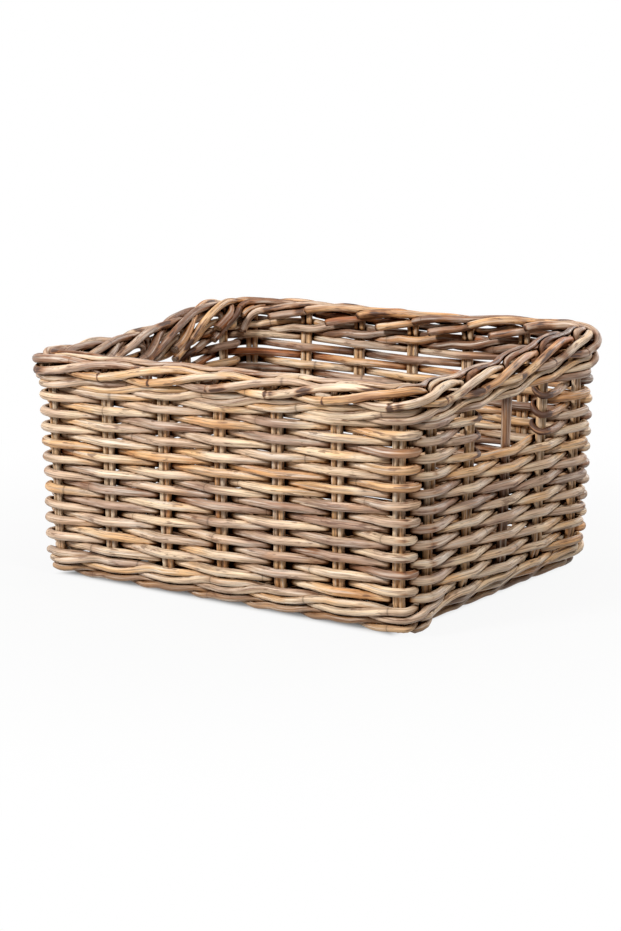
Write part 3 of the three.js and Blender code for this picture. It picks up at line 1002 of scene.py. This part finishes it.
def base_weaver_points():
    """To and fro over and under the sticks, round the outer ones."""
    points = []
    pitch = 2 * floor_y / (BASE_PASSES + 1)
    laps = {0: -BASE_LAP, BASE_STICKS - 1: BASE_LAP}
    for turn in range(BASE_PASSES):
        way = 1 if turn % 2 == 0 else -1
        y = (turn - (BASE_PASSES - 1) / 2) * pitch
        for step in range(BASE_STICKS):
            side = 1 if (step + turn * BASE_STICKS) % 2 == 0 else -1
            x = way * (stick_place(step) + laps.get(step, 0))
            points.append((x, y, BASE_LEVEL + side * BASE_SWING))
        if turn < BASE_PASSES - 1:
            points.append((way * (outer_stick + BASE_TURN), y + pitch / 2, BASE_LEVEL))
    return points


for index in range(BASE_STICKS):
    canes = Canes()
    ends = floor_y + STICK_END
    line = [settle((stick_place(index), y, BASE_LEVEL)) for y in np.linspace(-ends, ends, 60)]
    path = wavy(np.array(line), 0.15, seed=700 + index)
    canes.add(path, BASE_STICK, STICK_TONE, up=(0, 0, 1), seed=710 + index)
    canes.build(f"base_stick_{index + 1}_cane", base_cane, [f"base_stick_{index + 1}"])

canes = Canes()
path, _ = smooth([settle(point) for point in base_weaver_points()], STEP)
radius = uneven_radius(BASE_WEAVER, len(path), seed=5)
canes.add(path, radius, tones(BASE_TONE, len(path), seed=720), up=(0, 0, 1), seed=730)
canes.build("base_weaving", base_cane, ["base_weaver"])


def gathered(meshes):
    """Points, normals and faces of all meshes together, and which points are whose."""
    points, normals, faces, spans = [], [], [], []
    count = 0
    for mesh in meshes:
        first = count
        count += len(mesh.vertices)
        for source, field, arrays in (
            (mesh.vertices, "co", points),
            (mesh.vertex_normals, "vector", normals),
        ):
            values = np.zeros((count - first) * 3, np.float32)
            source.foreach_get(field, values)
            arrays.append(values.reshape(-1, 3))
        faces += [tuple(v + first for v in polygon.vertices) for polygon in mesh.polygons]
        spans.append((mesh, slice(first, count)))
    return np.concatenate(points), np.concatenate(normals), faces, spans


# How far rays look for other canes, in metres, how many there are, and where they start
REACH, RAYS, RAY_START = 0.016, 10, 0.0004
GOLDEN_ANGLE = 2.399963


def hemmed_in(points, normals, faces):
    """How close other canes lie before each point, by rays that spiral round its normal."""
    tree = BVHTree.FromPolygons(points.tolist(), faces)
    side = np.where(np.abs(normals[:, 2:3]) < 0.8, [[0.0, 0.0, 1.0]], [[1.0, 0.0, 0.0]])
    tangent = np.cross(normals, side)
    tangent /= np.linalg.norm(tangent, axis=1)[:, None] + 1e-9
    other = np.cross(normals, tangent)
    starts = (points + normals * RAY_START).tolist()
    hidden = np.zeros(len(points))
    for ray in range(RAYS):
        height = 1 - (ray + 0.5) / RAYS
        spread = math.sqrt(1 - height * height)
        turn = ray * GOLDEN_ANGLE
        sideways = tangent * (spread * math.cos(turn)) + other * (spread * math.sin(turn))
        ways = (normals * height + sideways).tolist()
        for index, (origin, way) in enumerate(zip(starts, ways)):
            distance = tree.ray_cast(origin, way, REACH)[3]
            if distance is not None:
                hidden[index] += (1 - distance / REACH) * (0.4 + 0.6 * height)
    return hidden / (RAYS * 0.7)


# Shade inside the wall: how strong, how deep inside it is full, and between which heights it
# sets in; the shade between its canes: how strong, how deep, and how high it reaches
INNER_SHADE, INNER_DEPTH, INNER_HEIGHTS = 0.52, 4, (160, 80)
BETWEEN_SHADE, BETWEEN_DEPTH, BETWEEN_TOP = 0.36, 3, 205

# How much more painted shade the right wall has, and the stakes' shares of it above and below the rim
RIGHT_WALL_PAINTED_SHADE, RIGHT_FROM = 0.16, 150
RIM_PAINTED_SHADE_SHARE, STAKE_PAINTED_SHADE_SHARE, RIM_FROM = 1.4, 0.68, 208


def wall_shade(x, y, z, normals):
    """Shade inside the wall, low down and between its canes; also what faces left or right."""
    past_x, past_y = np.abs(x) - half_long, np.abs(y) - half_short
    rounded = np.hypot(np.maximum(past_x, 0), np.maximum(past_y, 0))
    rounded = rounded + np.minimum(np.maximum(past_x, past_y), 0)
    inside = CORNER - (1 - z / HEIGHT) * LEAN - rounded
    low_down = np.clip(share_of_way(z, *INNER_HEIGHTS), 0, 1)
    shade = INNER_SHADE * np.clip(inside / INNER_DEPTH, 0, 1) * low_down
    on_side = WIDTH / 2 - np.abs(x) < DEPTH / 2 - np.abs(y)
    faces_out = np.where(on_side, np.sign(x) * normals[:, 0], np.sign(y) * normals[:, 1])
    between = np.clip(faces_out * np.clip(inside / BETWEEN_DEPTH, -1, 1), 0, 1)
    return shade + BETWEEN_SHADE * between * (z < BETWEEN_TOP), on_side


def shade_crevices(meshes):
    """Paints shade into the colour where canes lie close together; stakes have less of it below the rim.
    """
    points, normals, faces, spans = gathered(meshes)
    hidden = hemmed_in(points, normals, faces)
    x, y, z = (points / MILLIMETRE).T
    shade, on_side = wall_shade(x, y, z, normals)
    right_face = on_side & (x > RIGHT_FROM)
    # Closeness to other canes and the wall's shade go into the colour as painted shade.
    for mesh, span in spans:
        crevice = hidden[span]
        if not mesh.name.startswith(("lower", "foot")):
            crevice = crevice + shade[span]
        crevice = crevice * (1 + RIGHT_WALL_PAINTED_SHADE * right_face[span])
        if mesh.name.startswith("stakes"):
            crevice = crevice * np.where(z[span] > RIM_FROM, RIM_PAINTED_SHADE_SHARE, STAKE_PAINTED_SHADE_SHARE)
        mesh.attributes["crevice"].data.foreach_set("value", crevice.astype(np.float32))


shade_crevices(meshes)

# Camera, in metres and degrees, as it was fitted to the photo; its focal length is in pixels
AIM = Vector((0.0, -0.01845, 0.10955))
AZIMUTH, ELEVATION, DISTANCE = math.radians(34.92), math.radians(12.06), 2.471
FOCAL_LENGTH, PHOTO_HEIGHT, SENSOR_HEIGHT = 2500, 931, 36.0

toward = Vector((
    math.sin(AZIMUTH) * math.cos(ELEVATION),
    -math.cos(AZIMUTH) * math.cos(ELEVATION),
    math.sin(ELEVATION),
))
camera_data = bpy.data.cameras.new("camera")
camera_data.sensor_fit = "VERTICAL"
camera_data.sensor_height = SENSOR_HEIGHT
camera_data.lens = FOCAL_LENGTH / PHOTO_HEIGHT * SENSOR_HEIGHT
camera = bpy.data.objects.new("camera", camera_data)
bpy.context.scene.collection.objects.link(camera)
camera.location = AIM + toward * DISTANCE
camera.rotation_euler = toward.to_track_quat("Z", "Y").to_euler()
bpy.context.scene.camera = camera

# Lamps, in metres and watts: place, what they aim at, size, power and colour
LAMPS = {
    "key": ((-0.9, -2.35, 1.7), (0, 0, 0.12), 0.8, 88, (0.99, 0.982, 0.966)),
    "fill": ((1.9, -0.7, 2.2), (0, 0, 0.12), 0.5, 37, (1.0, 0.975, 0.95)),
    "back": ((0.5, 2.4, 1.0), (0, 0, 0.12), 1.2, 26, (1.0, 0.99, 0.98)),
    "top": ((-0.1, 0.2, 2.2), (0, 0, 0.1), 1.0, 12, (1.0, 0.99, 0.97)),
}


def area_light(name, place, aim, size, power, colour):
    data = bpy.data.lights.new(name, "AREA")
    data.shape = "DISK"
    data.size = size
    data.energy = power
    data.color = colour
    lamp = bpy.data.objects.new(name, data)
    bpy.context.scene.collection.objects.link(lamp)
    lamp.location = place
    lamp.rotation_euler = (Vector(place) - Vector(aim)).to_track_quat("Z", "Y").to_euler()


for name, settings in LAMPS.items():
    area_light(name, *settings)


def seen_white(shading, surface, output, share):
    """White to the camera and in reflections, as the studio sweep is; share of it from 0 to 1."""
    of_world = surface.type == "BACKGROUND"
    white = shading.nodes.new("ShaderNodeBackground" if of_world else "ShaderNodeEmission")
    white.inputs[0].default_value = (1, 1, 1, 1)
    white.inputs[1].default_value = 1.0
    rays = shading.nodes.new("ShaderNodeLightPath")
    seen = rays.outputs["Is Camera Ray"]
    for name in ("Is Glossy Ray", "Is Transmission Ray"):
        seen = shading.maths("MAXIMUM", seen, rays.outputs[name])
    blend = shading.nodes.new("ShaderNodeMixShader")
    shading.links.new(shading.times(seen, share), blend.inputs[0])
    shading.links.new(surface.outputs[0], blend.inputs[1])
    shading.links.new(white.outputs[0], blend.inputs[2])
    shading.links.new(blend.outputs[0], output.inputs[0])


# Light of the studio, and the floor's greys where the basket shades it
STUDIO_COLOUR, STUDIO_STRENGTH = (0.95, 0.97, 1.0, 1), 0.095
FLOOR_GREYS = (0.42, 0.46)
FLOOR_ROUGHNESS = 0.9

world = bpy.data.worlds.new("studio")
bpy.context.scene.world = world
world.use_nodes = True
world.node_tree.nodes.clear()
studio = Shading(world.node_tree)
soft = studio.nodes.new("ShaderNodeBackground")
soft.inputs[0].default_value = STUDIO_COLOUR
soft.inputs[1].default_value = STUDIO_STRENGTH
seen_white(studio, soft, studio.nodes.new("ShaderNodeOutputWorld"), 1.0)

# Half the footprint, the way from its middle to the origin, how softly its edge ends, and how
# far from the origin the sweep begins to burn out and is burnt out, all in metres
FOOTPRINT, TO_ORIGIN, EDGE = (0.192, 0.156, 0), (0.008, 0, 0), 0.012
BURNS_FROM, BURNS_TO, BURNT_NEAR = 0.22, 0.75, 0.92
SWEEP, SWEEP_LEVEL = 6.0, -0.0005


def floor_look():
    """Under the basket the floor is in its shade; round it the sweep burns out to white."""
    material = bpy.data.materials.new("pale_floor")
    material.use_nodes = True
    sweep = Shading(material.node_tree)
    surface = sweep.nodes["Principled BSDF"]
    surface.inputs["Roughness"].default_value = FLOOR_ROUGHNESS
    darker, paler = FLOOR_GREYS
    greys = sweep.ramp(sweep.noise(3.0, 2.0, 0.5), [(0.0, (darker,) * 3), (1.0, (paler,) * 3)])
    sweep.links.new(greys, surface.inputs["Base Color"])
    place = sweep.nodes.new("ShaderNodeTexCoord").outputs["Object"]
    centred = sweep.vector_maths("ABSOLUTE", sweep.vector_maths("ADD", place, TO_ORIGIN))
    parts = sweep.nodes.new("ShaderNodeSeparateXYZ")
    sweep.links.new(sweep.vector_maths("SUBTRACT", centred, FOOTPRINT), parts.inputs[0])
    beyond = sweep.maths("MAXIMUM", parts.outputs[0], parts.outputs[1])
    distance = sweep.vector_maths("LENGTH", place, output="Value")
    uncovered = sweep.fade(beyond, -EDGE, EDGE, 0.0, 1.0)
    burnt = sweep.fade(distance, BURNS_FROM, BURNS_TO, BURNT_NEAR, 1.0)
    share = sweep.times(uncovered, burnt)
    seen_white(sweep, surface, sweep.nodes["Material Output"], share)
    return material


floor_mesh = bpy.data.meshes.new("floor")
corners = [(-SWEEP, -SWEEP), (SWEEP, -SWEEP), (SWEEP, SWEEP), (-SWEEP, SWEEP)]
floor_mesh.from_pydata([(x, y, SWEEP_LEVEL) for x, y in corners], [], [(0, 1, 2, 3)])
floor = bpy.data.objects.new("floor", floor_mesh)
bpy.context.scene.collection.objects.link(floor)
floor_mesh.materials.append(floor_look())
floor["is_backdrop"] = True

bpy.context.scene.view_settings.view_transform = "Standard"

low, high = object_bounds()
